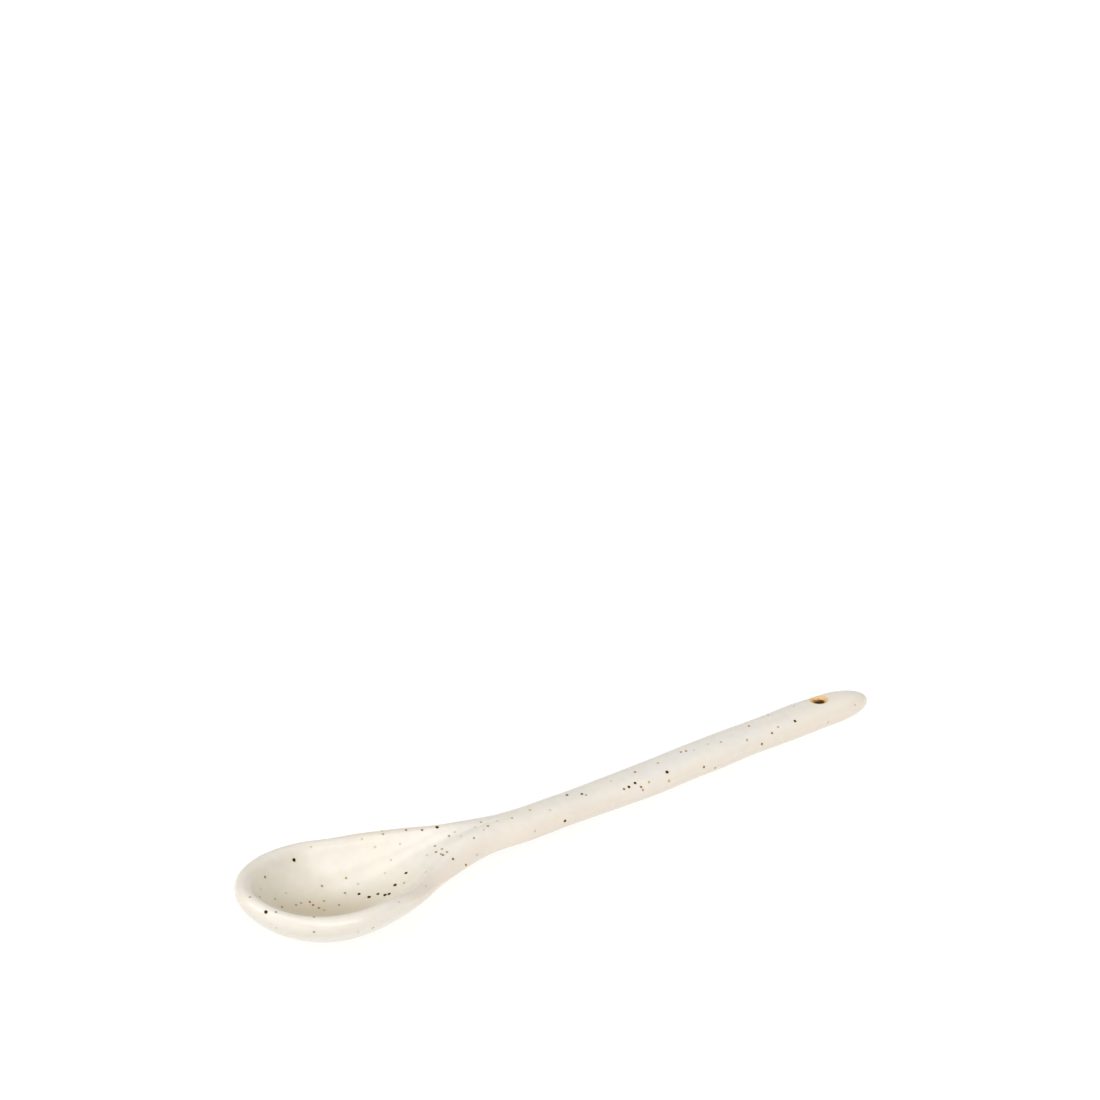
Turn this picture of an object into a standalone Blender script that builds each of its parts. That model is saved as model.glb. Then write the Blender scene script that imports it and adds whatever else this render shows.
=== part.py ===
"""A coffee spoon of glazed stoneware, lying on its bowl and on the end of its handle.

The bowl and the handle are shaped by hand from clay and luted together at the neck. One coat of glaze
covers both and stops at the lips of the hanging hole. Lengths are in metres. +X runs from the bowl's tip
to the handle's end, +Z is up, and the origin is on the table under the middle of the spoon.
"""

from math import copysign, cos, pi, radians, sin, sqrt

import bmesh
import bpy
import numpy as np
from mathutils import Matrix, Vector

MM = 0.001

# Plan of the spoon along its edge, with stations measured from the bowl's tip
LENGTH = 140.0 * MM
BOWL_LENGTH = 51.0 * MM        # tip to the narrowest place of the neck
BOWL_NOSE = 16.6 * MM          # tip to the bowl's widest place
BOWL_WIDTH = 26.2 * MM
NECK_WIDTH = 7.3 * MM
HANDLE_WIDTH = 7.8 * MM
HANDLE_SWELL = 67.0 * MM       # neck to where the handle has its full width
END_LENGTH = 8.0 * MM          # the rounded end of the handle
NOSE_ROUNDNESS = 1.88          # 2 is a round cap, less is more pointed
END_ROUNDNESS = 1.8

# Thickness of the body and form of the hollow
BOWL_WALL = 3.7 * MM
WALL_RUN = 8.0 * MM            # the wall stays even this far behind the widest place
NECK_THICKNESS = 5.0 * MM
HANDLE_THICKNESS = 4.8 * MM
HOLLOW_DEPTH = 8.0 * MM        # rim to floor, both at the middle of the wall
BELLY_RUNOUT = 19.2 * MM       # the belly under the hollow fades out this far behind the neck
FLOOR_RUNOUT = 8.0 * MM        # the hollow's floor is up at the neck's top this far behind the neck
NOSE_FULLNESS = 3.05           # 2 is a round hollow, more has steeper sides and a flatter floor
HOLLOW_FULLNESS = 2.55         # behind the nose
FULL_RUN = 18.0 * MM           # the sides get less steep over this length from the tip
SCOOP_DEPTH = 1.4 * MM         # the floor is dug out this much thinner than the wall
SCOOP_FULLNESS = 7.0
SOFT_START = 14.0 * MM         # the hollow's sides start to flatten this far before the neck
SOFT_RUN = 16.0 * MM           # and it is a soft channel after this length
RIM_LIP = 1.0 * MM             # width of the rounding along the bowl's rim, inside
RIM_ROUND = 1.7 * MM           # and outside
HANDLE_FLAT = 0.6 * MM         # width of the flat along the top and underside of the handle
EDGE_FULLNESS = 2.5            # of the roundings: 2 is round, more runs softer into the flat
ROUND_START = 11.0 * MM        # the rim starts to widen into the handle this far before the neck
ROUND_RUN = 17.0 * MM          # and is the handle's edge after this length

# Side view: heights of the edge, from the tip along the rim and the handle
TIP_HEIGHT = 12.4 * MM
WIDEST_HEIGHT = 9.7 * MM
BACK_HEIGHT = 7.7 * MM
SHOULDER_HEIGHT = 4.6 * MM
HANDLE_HEIGHT = 3.1 * MM
END_HEIGHT = 1.8 * MM
BACK_SETBACK = 5.0 * MM        # back of the rim, before the neck
SHOULDER_RUN = 13.0 * MM       # neck to the shoulder of the handle
HANDLE_RUN = 49.0 * MM         # neck to the middle of the handle
NEAR_SINK = 2.8 * MM           # the rim on the -Y side runs down to the neck this much lower than the other
SINK_MIDDLE = 14.0 * MM        # it is lowest this far before the neck
SINK_RUN = 17.0 * MM           # after sinking over this length
SINK_RUNOUT = 25.0 * MM        # and it is up again after this length
TOP_SINK = 3.0                 # how closely the top follows it towards the edge, more is closer
UNDER_SINK = 5.0
WAIST_DEPTH = 1.25 * MM        # the top is pressed down this much
WAIST_MIDDLE = 2.2 * MM        # most of all this far behind the neck
WAIST_RUN = 15.5 * MM          # over this length before and behind
WAIST_UNDER = 4.0              # how closely the underside follows it towards the edge
EDGE_SPREAD = 0.7 * MM         # the neck's edges are pushed out this much
SPREAD_RUN = 13.0 * MM         # over this length before and behind
UNDER_SPREAD = 3.0             # how closely the underside follows them towards the edge
FOOT_PRESS = 0.35 * MM         # depth to which the two resting places are rubbed flat

# Hanging hole, pierced by hand and a little off the middle line
HOLE_DIAMETER = 2.4 * MM
HOLE_FROM_END = 10.6 * MM
HOLE_OFFSET = 0.8 * MM

# Glaze, and where the two clay pieces meet
GLAZE_THICKNESS = 0.4 * MM
LIP_SETBACK = 0.6 * MM         # the full glaze stops this far short of the edge of the hole
CLAY_CLEARANCE = 0.3 * MM
JOINT_RUN = 6.0 * MM           # neck to the luted joint
JOINT_LEAN = radians(30.0)     # the scored faces lean back from upright
JOINT_GAP = 0.3 * MM

# Fineness of the faces
NOSE_COLUMNS = 20
BOWL_COLUMNS = 11
HANDLE_COLUMNS = 14
END_COLUMNS = 12
RINGS = 8
EDGE_CLOSENESS = 2.0           # 1 spaces the rings evenly, more draws them towards the edge
HOLE_SIDES = 32
SLOPE_STEP = 0.01 * MM
MERGE_DISTANCE = 0.001 * MM
SEAT_TURNS = 3                 # the lowest points move a little as the spoon tilts


def ease(share):
    """Zero to one with a level start and end."""
    share = min(max(share, 0.0), 1.0)
    return share * share * (3 - 2 * share)


def fade(share):
    """One to zero along half a cosine wave."""
    return (1 + cos(pi * min(max(share, 0.0), 1.0))) / 2


def half_width(x):
    """Half the width of the plan at a station between the rounded nose and the rounded end."""
    behind_nose = fade((x - BOWL_NOSE) / (BOWL_LENGTH - BOWL_NOSE))
    swell = ease((x - BOWL_LENGTH) / HANDLE_SWELL)
    neck = NECK_WIDTH + (HANDLE_WIDTH - NECK_WIDTH) * swell
    return (neck + (BOWL_WIDTH - neck) * behind_nose) / 2


def thickness(x):
    """Thickness of the body, from the bowl's wall through the neck to the handle."""
    wall_end = BOWL_NOSE + WALL_RUN
    to_neck = ease((x - wall_end) / (BOWL_LENGTH - wall_end))
    to_handle = ease((x - BOWL_LENGTH) / HANDLE_SWELL)
    neck = BOWL_WALL + (NECK_THICKNESS - BOWL_WALL) * to_neck
    return neck + (HANDLE_THICKNESS - NECK_THICKNESS) * to_handle


def hollow_share(x, runout):
    """Share of the hollow's depth on the middle line, full in the nose and fading out behind the neck."""
    return fade((x - BOWL_NOSE) / (BOWL_LENGTH + runout - BOWL_NOSE))


def fullness(x):
    """How steep the sides of the hollow are."""
    return NOSE_FULLNESS + (HOLLOW_FULLNESS - NOSE_FULLNESS) * ease(x / FULL_RUN)


def flat_share(x, side):
    """Share of the half width that lies inside the rounded edge, on top (side 1) or below (side -1)."""
    handle_round = (HANDLE_WIDTH - HANDLE_FLAT) / 2
    rim = RIM_LIP if side > 0 else RIM_ROUND
    along = ease((x - BOWL_LENGTH + ROUND_START) / ROUND_RUN)
    return 1 - (rim + (handle_round - rim) * along) / half_width(x)


def smooth_line(stations, heights):
    """A natural cubic curve through the given points, as a function of the station."""
    spans = np.diff(stations)
    slopes = np.diff(heights) / spans
    system = np.eye(len(stations))
    bends = np.zeros(len(stations))
    for i in range(1, len(stations) - 1):
        system[i, i - 1:i + 2] = spans[i - 1], 2 * (spans[i - 1] + spans[i]), spans[i]
        bends[i] = 6 * (slopes[i] - slopes[i - 1])
    curvature = np.linalg.solve(system, bends)

    def height(x):
        i = min(max(np.searchsorted(stations, x) - 1, 0), len(spans) - 1)
        before = (stations[i + 1] - x) / spans[i]
        after = (x - stations[i]) / spans[i]
        bend = (before ** 3 - before) * curvature[i] + (after ** 3 - after) * curvature[i + 1]
        return before * heights[i] + after * heights[i + 1] + bend * spans[i] ** 2 / 6

    return height


edge_height = smooth_line(
    [0.0, BOWL_NOSE, BOWL_LENGTH - BACK_SETBACK,
     BOWL_LENGTH + SHOULDER_RUN, BOWL_LENGTH + HANDLE_RUN, LENGTH],
    [TIP_HEIGHT, WIDEST_HEIGHT, BACK_HEIGHT,
     SHOULDER_HEIGHT, HANDLE_HEIGHT, END_HEIGHT])


def section_at(x):
    """The station whose section holds at x, how far x lies into a cap, 0 to 1, and the cap's roundness."""
    end_start = LENGTH - END_LENGTH
    if x < BOWL_NOSE:
        return BOWL_NOSE, (BOWL_NOSE - x) / BOWL_NOSE, NOSE_ROUNDNESS
    if x > end_start:
        return end_start, (x - end_start) / END_LENGTH, END_ROUNDNESS
    return x, 0.0, 1.0


def edge_level(x, y):
    """How far out a point of the plan lies, from 0 on the middle line to 1 on the edge."""
    section, into_cap, roundness = section_at(x)
    out = abs(y) / half_width(section)
    return (into_cap ** roundness + out ** roundness) ** (1 / roundness)


def softness(x):
    """How far the top has turned from a hollow with steep sides into a soft channel."""
    return ease((x - BOWL_LENGTH + SOFT_START) / SOFT_RUN)


def middle_height(x, y, side):
    """Height of the sheet in the middle of the body that carries the top (side 1) or the belly (side -1)."""
    level = edge_level(x, y)
    dip = 1 - level ** fullness(x)
    if side > 0:
        dip += (fade(level) - dip) * softness(x)
    depth = HOLLOW_DEPTH * hollow_share(x, FLOOR_RUNOUT if side > 0 else BELLY_RUNOUT)
    return edge_height(x) - depth * dip


def scoop(x, y):
    """How far the floor of the hollow is dug out, with steep sides under the rim."""
    level = min(edge_level(x, y), 1.0)
    return SCOOP_DEPTH * (1 - softness(x)) * hollow_share(x, FLOOR_RUNOUT) * (1 - level ** SCOOP_FULLNESS)


def sink(x, y, side):
    """How far the rim on the -Y side has sunk, where it runs down to the neck."""
    if y > 0:
        return 0.0
    behind = x - BOWL_LENGTH + SINK_MIDDLE
    along = fade(-behind / SINK_RUN) * fade(behind / SINK_RUNOUT)
    return NEAR_SINK * along * min(edge_level(x, y), 1.0) ** (TOP_SINK if side > 0 else UNDER_SINK)


def waist(x, y, side):
    """How far the top is pressed down behind the neck, and the edges with it but not the belly."""
    press = WAIST_DEPTH * fade(abs(x - BOWL_LENGTH - WAIST_MIDDLE) / WAIST_RUN)
    return press if side > 0 else press * min(edge_level(x, y), 1.0) ** WAIST_UNDER


def spread(x, y, side, rounding):
    """How far the neck's edge is pushed out, so that its top runs smoothly into its belly."""
    out = EDGE_SPREAD * fade(abs(x - BOWL_LENGTH) / SPREAD_RUN)
    return copysign(out * (1 - rounding) ** (1.0 if side > 0 else UNDER_SPREAD), y)


def skin_point(x, y, side):
    """The skin above (side 1) or below (side -1) a point of the plan, square to the middle sheet."""
    flat = flat_share(section_at(x)[0], side)
    into_edge = max(edge_level(x, y) - flat, 0.0) / (1 - flat)
    rounding = sqrt(max(1 - into_edge ** EDGE_FULLNESS, 0.0))
    slope_x = middle_height(x + SLOPE_STEP, y, side) - middle_height(x - SLOPE_STEP, y, side)
    slope_y = middle_height(x, y + SLOPE_STEP, side) - middle_height(x, y - SLOPE_STEP, side)
    square = Vector((-slope_x, -slope_y, 2 * SLOPE_STEP)).normalized()
    lower = sink(x, y, side) + waist(x, y, side) + (scoop(x, y) if side > 0 else 0.0)
    place = Vector((x, y + spread(x, y, side, rounding), middle_height(x, y, side) - lower))
    return place + square * (side * rounding * thickness(x) / 2)


def cap_edge(turn, roundness):
    """A point on the edge of a cap of unit size, how far out to its tip and how far across."""
    power = 2 / roundness
    return Vector((cos(turn) ** power, copysign(abs(sin(turn)) ** power, turn)))


def outline():
    """A point of the middle line and a point of the edge for each column of faces round the plan."""
    end_start = LENGTH - END_LENGTH
    stations = list(np.linspace(BOWL_NOSE, BOWL_LENGTH, BOWL_COLUMNS + 1))
    stations += list(np.linspace(BOWL_LENGTH, end_start, HANDLE_COLUMNS + 1))[1:]
    columns = []
    for turn in np.linspace(-pi / 2, pi / 2, NOSE_COLUMNS + 1)[1:-1]:
        cap = cap_edge(turn, NOSE_ROUNDNESS)
        edge = Vector((BOWL_NOSE * (1 - cap.x), half_width(BOWL_NOSE) * cap.y))
        columns.append((Vector((BOWL_NOSE, 0.0)), edge))
    for x in stations:
        columns.append((Vector((x, 0.0)), Vector((x, half_width(x)))))
    for turn in np.linspace(pi / 2, -pi / 2, END_COLUMNS + 1)[1:-1]:
        cap = cap_edge(turn, END_ROUNDNESS)
        edge = Vector((end_start + END_LENGTH * cap.x, half_width(end_start) * cap.y))
        columns.append((Vector((end_start, 0.0)), edge))
    for x in reversed(stations):
        columns.append((Vector((x, 0.0)), Vector((x, -half_width(x)))))
    return columns


def ring_level(ring):
    """Level of a ring of faces, counted from the middle line, with closer rings on the rounded edge."""
    return 1 - (1 - ring / RINGS) ** EDGE_CLOSENESS


def spoon_skin():
    """The outside of the spoon as one closed mesh, seated on the table.

    A grid is wrapped round the plan. Its rings run from the middle line of the top out to the edge, and
    under the spoon back to the middle line. Merging what meets closes it.
    """
    columns = outline()
    skin = bmesh.new()
    bmesh.ops.create_grid(skin, x_segments=len(columns), y_segments=2 * RINGS, size=1.0)
    for vert in skin.verts:
        column = round((vert.co.x + 1) / 2 * len(columns)) % len(columns)
        ring = round(vert.co.y * RINGS)
        middle, edge = columns[column]
        place = middle.lerp(edge, ring_level(RINGS - abs(ring)))
        vert.co = skin_point(place.x, place.y, 1 if ring > 0 else -1)
    bmesh.ops.remove_doubles(skin, verts=skin.verts, dist=MERGE_DISTANCE)
    seat(skin)
    bmesh.ops.recalc_face_normals(skin, faces=skin.faces)
    return skin


def seat(skin):
    """Lay the spoon on the table, on its bowl and its handle, and rub both resting places flat."""
    bowl = [vert for vert in skin.verts if vert.co.x < BOWL_LENGTH]
    handle = [vert for vert in skin.verts if vert.co.x > BOWL_LENGTH + HANDLE_RUN]
    for _ in range(SEAT_TURNS):
        bowl_low = min(bowl, key=lambda vert: vert.co.z).co.copy()
        handle_low = min(handle, key=lambda vert: vert.co.z).co.copy()
        slope = (handle_low.z - bowl_low.z) / (handle_low.x - bowl_low.x)
        for vert in skin.verts:
            vert.co.z -= bowl_low.z + slope * (vert.co.x - bowl_low.x)
    for vert in skin.verts:
        vert.co.z = max(vert.co.z - FOOT_PRESS, 0.0)


def shrunk(skin, distance):
    """A copy of the skin, moved inwards."""
    inner = skin.copy()
    inner.normal_update()
    for vert in inner.verts:
        vert.co -= vert.normal * distance
    inner.normal_update()
    return inner


def finish(name, colour, roughness):
    """A plain material in linear colour."""
    material = bpy.data.materials.new(name)
    material.use_nodes = True
    shader = material.node_tree.nodes["Principled BSDF"]
    shader.inputs["Base Color"].default_value = (*colour, 1.0)
    shader.inputs["Roughness"].default_value = roughness
    shader.inputs["Metallic"].default_value = 0.0
    return material


def piece(name, mesh_data, material):
    """An object of its own from a bmesh, shaded smooth."""
    mesh = bpy.data.meshes.new(name)
    mesh_data.to_mesh(mesh)
    mesh_data.free()
    mesh.shade_smooth()
    mesh.materials.append(material)
    thing = bpy.data.objects.new(name, mesh)
    bpy.context.collection.objects.link(thing)
    thing.parent = spoon
    return thing


def hole_cutter(name, diameter):
    """A drill through the handle at the hanging hole, which only cuts."""
    drill = bmesh.new()
    reach = 4 * HANDLE_THICKNESS
    centre = Matrix.Translation((LENGTH - HOLE_FROM_END, HOLE_OFFSET, HANDLE_THICKNESS / 2))
    bmesh.ops.create_cone(drill, cap_ends=True, segments=HOLE_SIDES, radius1=diameter / 2,
                          radius2=diameter / 2, depth=reach, matrix=centre)
    cutter = piece(name, drill, clay)
    cutter.hide_render = True
    cutter.display_type = "WIRE"
    return cutter


def drill_hole(thing, cutter):
    """Cut the hanging hole through a piece."""
    cut = thing.modifiers.new("hanging_hole", "BOOLEAN")
    cut.operation = "DIFFERENCE"
    cut.solver = "EXACT"
    cut.object = cutter


def clay_part(skin, towards_handle):
    """The clay on one side of the luted joint, with its scored face closed."""
    clay_mesh = shrunk(skin, GLAZE_THICKNESS + CLAY_CLEARANCE)
    across = Vector((cos(JOINT_LEAN), 0.0, sin(JOINT_LEAN)))
    side = 1 if towards_handle else -1
    neck_middle = Vector((BOWL_LENGTH + JOINT_RUN, 0.0, NECK_THICKNESS))
    bmesh.ops.bisect_plane(clay_mesh, geom=clay_mesh.verts[:] + clay_mesh.edges[:] + clay_mesh.faces[:],
                           plane_co=neck_middle + across * (side * JOINT_GAP / 2), plane_no=across * -side,
                           clear_outer=True)
    bmesh.ops.holes_fill(clay_mesh, edges=[edge for edge in clay_mesh.edges if edge.is_boundary])
    bmesh.ops.recalc_face_normals(clay_mesh, faces=clay_mesh.faces)
    return clay_mesh


for old in list(bpy.data.objects):
    bpy.data.objects.remove(old, do_unlink=True)

clay = finish("brown_stoneware", (0.23, 0.10, 0.035), 0.8)
glaze = finish("cream_glaze", (0.80, 0.76, 0.69), 0.22)

skin = spoon_skin()

# Stations are counted from the bowl's tip, so the spoon hangs on an empty that centres it over the origin
spoon = bpy.data.objects.new("spoon", None)
bpy.context.collection.objects.link(spoon)
ends = [vert.co.x for vert in skin.verts]
spoon.location.x = -(min(ends) + max(ends)) / 2

piece("clay_bowl", clay_part(skin, False), clay)
handle = piece("clay_handle", clay_part(skin, True), clay)
drill_hole(handle, hole_cutter("hole_drill", HOLE_DIAMETER))

# The coat is the skin with a shrunk copy turned inside out, opened at both lips of the hole
inside = shrunk(skin, GLAZE_THICKNESS)
bmesh.ops.reverse_faces(inside, faces=inside.faces)
coat_inside = bpy.data.meshes.new("coat_inside")
inside.to_mesh(coat_inside)
inside.free()
skin.from_mesh(coat_inside)
bpy.data.meshes.remove(coat_inside)
coat = piece("glaze_coat", skin, glaze)
drill_hole(coat, hole_cutter("lip_drill", HOLE_DIAMETER + 2 * LIP_SETBACK))
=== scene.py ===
"""A coffee spoon of speckled, cream-glazed stoneware: the looks of its clay and its glaze."""

from math import copysign, cos, pi, radians, sin, sqrt
from random import Random

import bmesh
import bpy
import numpy as np
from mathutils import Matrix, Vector
from mathutils.bvhtree import BVHTree
from mathutils.kdtree import KDTree


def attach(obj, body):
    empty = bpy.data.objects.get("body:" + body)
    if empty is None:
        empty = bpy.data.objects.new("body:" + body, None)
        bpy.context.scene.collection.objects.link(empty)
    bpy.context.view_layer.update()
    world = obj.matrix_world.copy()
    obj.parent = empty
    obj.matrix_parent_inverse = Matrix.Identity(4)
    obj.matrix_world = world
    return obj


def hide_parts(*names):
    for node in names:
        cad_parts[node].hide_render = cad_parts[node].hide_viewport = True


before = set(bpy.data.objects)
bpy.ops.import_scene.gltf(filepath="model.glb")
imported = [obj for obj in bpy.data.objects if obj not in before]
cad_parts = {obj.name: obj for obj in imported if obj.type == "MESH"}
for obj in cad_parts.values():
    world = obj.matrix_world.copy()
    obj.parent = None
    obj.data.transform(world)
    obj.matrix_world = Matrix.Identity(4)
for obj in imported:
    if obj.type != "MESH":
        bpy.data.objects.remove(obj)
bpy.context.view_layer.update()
scene = bpy.context.scene
MM = 0.001

# Viewpoint: a long lens that looks down on the spoon, past its bowl and along its handle.
# It is set up first because the specks of the glaze are marked as they are seen from here.
IMAGE_SIDE = 1100                             # pixels
SENSOR_WIDTH = 36.0 * MM
LENS_LENGTH = 140.0 * MM
VIEW_AZIMUTH = radians(-37.12)
VIEW_ELEVATION = radians(33.05)
VIEW_DISTANCE = 778.8 * MM
SPOON_MIDDLE = Vector((0.22, 0.0, 5.0)) * MM
VIEW_AIM = Vector((11.63, 21.28, 44.19)) * MM  # the spoon lies low in the image

camera_data = bpy.data.cameras.new("studio_camera")
camera_data.sensor_width = SENSOR_WIDTH / MM
camera_data.lens = LENS_LENGTH / MM
camera = bpy.data.objects.new("studio_camera", camera_data)
scene.collection.objects.link(camera)


def towards(azimuth, elevation):
    """Direction from the spoon to a place round it."""
    level = cos(elevation)
    return Vector((sin(azimuth) * level, -cos(azimuth) * level, sin(elevation)))


camera.location = SPOON_MIDDLE + towards(VIEW_AZIMUTH, VIEW_ELEVATION) * VIEW_DISTANCE
view_turn = (VIEW_AIM - camera.location).to_track_quat("-Z", "Y")
camera.rotation_euler = view_turn.to_euler()
scene.camera = camera


def line_of_sight(pixel):
    """Direction from the camera through a pixel of the image."""
    across = (pixel[0] / IMAGE_SIDE - 0.5) * SENSOR_WIDTH
    up = (0.5 - pixel[1] / IMAGE_SIDE) * SENSOR_WIDTH
    return view_turn @ Vector((across, up, -LENS_LENGTH)).normalized()


# Clay: the body of the spoon, a stoneware that is rich in iron. The bowl and the handle are shaped
# by hand and luted together at the neck. The glaze hides both, apart from the bore of the hanging hole.
CLAY_BROWN = "#6E4523"
CLAY_DARK = "#3A2413"
CLAY_SAND = "#A87A4B"
CLAY_CLOUD = 3.0 * MM          # size of the darker and lighter places
SAND_GRAIN = 0.35 * MM         # coarse grains in the clay
GRAIN_CLAY, GRAIN_SAND = 0.62, 0.75     # the grain is clay up to the first value, sand from the second
CLAY_TOOTH = 0.05 * MM         # height of the grain
TOOTH_STRENGTH = 0.6
CLAY_ROUGHNESS = 0.85
MIX_FACTOR, MIX_A, MIX_B, MIX_RESULT = 0, 6, 7, 2     # the colour sockets of a Mix node


def linear(hex_colour):
    """An sRGB hex colour as linear red, green and blue with full alpha."""
    shares = [int(hex_colour[i:i + 2], 16) / 255 for i in (1, 3, 5)]
    return (*[s / 12.92 if s <= 0.04045 else ((s + 0.055) / 1.055) ** 2.4 for s in shares], 1.0)


def add(tree, kind, inputs=None, **settings):
    """A node of a kind, with its settings, and a value or a link for each named socket."""
    made = tree.nodes.new("ShaderNode" + kind)
    for name, value in settings.items():
        setattr(made, name, value)
    for name, value in (inputs or {}).items():
        if isinstance(value, bpy.types.NodeSocket):
            tree.links.new(value, made.inputs[name])
        else:
            made.inputs[name].default_value = value
    return made


def new_finish(name):
    """A new material with its node tree, its shader and the piece's own coordinates."""
    material = bpy.data.materials.new(name)
    material.use_nodes = True
    tree = material.node_tree
    return material, tree, tree.nodes["Principled BSDF"], add(tree, "TexCoord").outputs["Object"]


# Fired stoneware, bare: matt and toasty brown, mottled, with pale grains of sand that make it rough
stoneware, tree, shader, place = new_finish("bare_fired_stoneware")
cloud = add(tree, "TexNoise", {"Vector": place, "Scale": 1 / CLAY_CLOUD, "Detail": 4.0})
grain = add(tree, "TexNoise", {"Vector": place, "Scale": 1 / SAND_GRAIN, "Detail": 2.0})
sandy = add(tree, "MapRange", {"Value": grain.outputs["Fac"], "From Min": GRAIN_CLAY,
                               "From Max": GRAIN_SAND})
brown = add(tree, "Mix", {MIX_FACTOR: cloud.outputs["Fac"], MIX_A: linear(CLAY_DARK),
                          MIX_B: linear(CLAY_BROWN)}, data_type="RGBA")
toasted = add(tree, "Mix", {MIX_FACTOR: sandy.outputs["Result"], MIX_A: brown.outputs[MIX_RESULT],
                            MIX_B: linear(CLAY_SAND)}, data_type="RGBA")
tooth = add(tree, "Bump", {"Height": grain.outputs["Fac"], "Distance": CLAY_TOOTH,
                           "Strength": TOOTH_STRENGTH})
tree.links.new(toasted.outputs[MIX_RESULT], shader.inputs["Base Color"])
tree.links.new(tooth.outputs["Normal"], shader.inputs["Normal"])
shader.inputs["Roughness"].default_value = CLAY_ROUGHNESS

# Glaze: one glossy skin over bowl, neck and handle, dipped, about 0.4 mm thick. Iron in the clay bleeds
# through it as specks. At the hanging hole it rolls over the lips and thins to amber down the bore, with
# painted shade deeper in.
LENGTH = 140.0 * MM            # along the edge, with stations measured from the bowl's tip
BOWL_LENGTH = 51.0 * MM        # tip to the narrowest place of the neck
BOWL_NOSE = 16.6 * MM          # tip to the bowl's widest place
BOWL_WIDTH = 26.2 * MM
NECK_WIDTH = 7.3 * MM
HANDLE_WIDTH = 7.8 * MM
HANDLE_SWELL = 67.0 * MM       # neck to where the handle has its full width
END_LENGTH = 8.0 * MM          # the rounded end of the handle
END_START = LENGTH - END_LENGTH
NOSE_ROUNDNESS = 1.88          # 2 is a round cap, less is more pointed
END_ROUNDNESS = 1.8

BOWL_WALL = 3.7 * MM
WALL_RUN = 8.0 * MM            # the wall stays even this far behind the widest place
NECK_THICKNESS = 5.0 * MM
HANDLE_THICKNESS = 4.8 * MM
HOLLOW_DEPTH = 8.0 * MM        # rim to floor, both at the middle of the wall
BELLY_RUNOUT = 19.2 * MM       # the belly under the hollow fades out this far behind the neck
NOSE_FULLNESS = 3.05           # 2 is a round hollow, more has steeper sides and a flatter floor
HOLLOW_FULLNESS = 2.55         # behind the nose
FULL_RUN = 18.0 * MM           # the sides get less steep over this length from the tip
SCOOP_DEPTH = 1.4 * MM         # the floor is dug out this much thinner than the wall
SCOOP_FULLNESS = 7.0
FLOOR_RUNOUT = 8.0 * MM        # the hollow's floor is up at the neck's top this far behind the neck
SOFT_START = 14.0 * MM         # the hollow's sides start to flatten this far before the neck
SOFT_RUN = 16.0 * MM           # and it is a soft channel after this length
RIM_LIP = 1.0 * MM             # width of the rounding along the bowl's rim, inside
RIM_ROUND = 1.7 * MM           # and outside
HANDLE_ROUND = 3.6 * MM        # width of the rounding along the handle's edges
EDGE_FULLNESS = 2.5            # of the roundings: 2 is round, more runs softer into the flat
ROUND_START = 11.0 * MM        # the rim starts to widen into the handle this far before the neck
ROUND_RUN = 17.0 * MM          # and is the handle's edge after this length

TIP_HEIGHT = 12.4 * MM         # heights of the edge in side view
WIDEST_HEIGHT = 9.7 * MM
BACK_HEIGHT = 7.7 * MM
SHOULDER_HEIGHT = 4.6 * MM
HANDLE_HEIGHT = 3.1 * MM
END_HEIGHT = 1.8 * MM
BACK_SETBACK = 5.0 * MM        # back of the rim, before the neck
SHOULDER_RUN = 13.0 * MM       # neck to the shoulder of the handle
HANDLE_RUN = 49.0 * MM         # neck to the middle of the handle
NEAR_SINK = 2.8 * MM           # the rim on the -Y side runs down to the neck this much lower
SINK_MIDDLE = 14.0 * MM        # it is lowest this far before the neck
SINK_RUN = 17.0 * MM           # after sinking over this length
SINK_RUNOUT = 25.0 * MM        # and it is up again after this length
TOP_SINK = 3.0                 # how closely the top follows it towards the edge, more is closer
UNDER_SINK = 5.0               # and how closely the underside follows
WAIST_DEPTH = 1.25 * MM        # the top is pressed down this much behind the neck
WAIST_MIDDLE = 2.2 * MM        # most of all here
WAIST_RUN = 15.5 * MM          # over this length before and behind
WAIST_UNDER = 4.0              # how closely the underside follows it towards the edge
EDGE_SPREAD = 0.7 * MM         # the neck's edges are pushed out this much
SPREAD_RUN = 13.0 * MM         # over this length before and behind
UNDER_SPREAD = 3.0             # how closely the underside follows them towards the edge
FOOT_PRESS = 0.35 * MM         # depth to which the two resting places are rubbed flat

GLAZE_THICKNESS = 0.4 * MM
THIN_RUN = 14.0 * MM           # behind the bowl's nose it thins towards the edges, over this length
THIN_OUTSIDE = 0.85            # and this much, from 0 to 1, all over the underside
SHADE_SIDE = Vector((-0.44, -0.9))   # painted shade in the hollow lies towards this side, under the near rim and at the tip
SHADE_RUN = 10.0 * MM           # and gets darker over this length
SHADE_FADE = 4.0                # how soon it ends towards the neck
HOLE = Vector((LENGTH - 10.6 * MM, 0.8 * MM))
FILM_RADIUS = 1.1 * MM         # of the hole inside the glaze
FILM_THICKNESS = 0.08 * MM     # of the glaze down the bore, just clear of the clay
FILM_DEPTH = 1.15 * MM         # it runs this far into the hole
FILM_BACK = 0.75 * MM          # depth at which its back turns away from the bore, over the clay's edge
LIP_THIN = 0.5                 # how far it has thinned where the lip's round ends, 1 is thinnest and darkest, with painted shade
BORE_THIN_AND_SHADE = 0.75               # and half way down the bore, where painted shade darkens it

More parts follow.
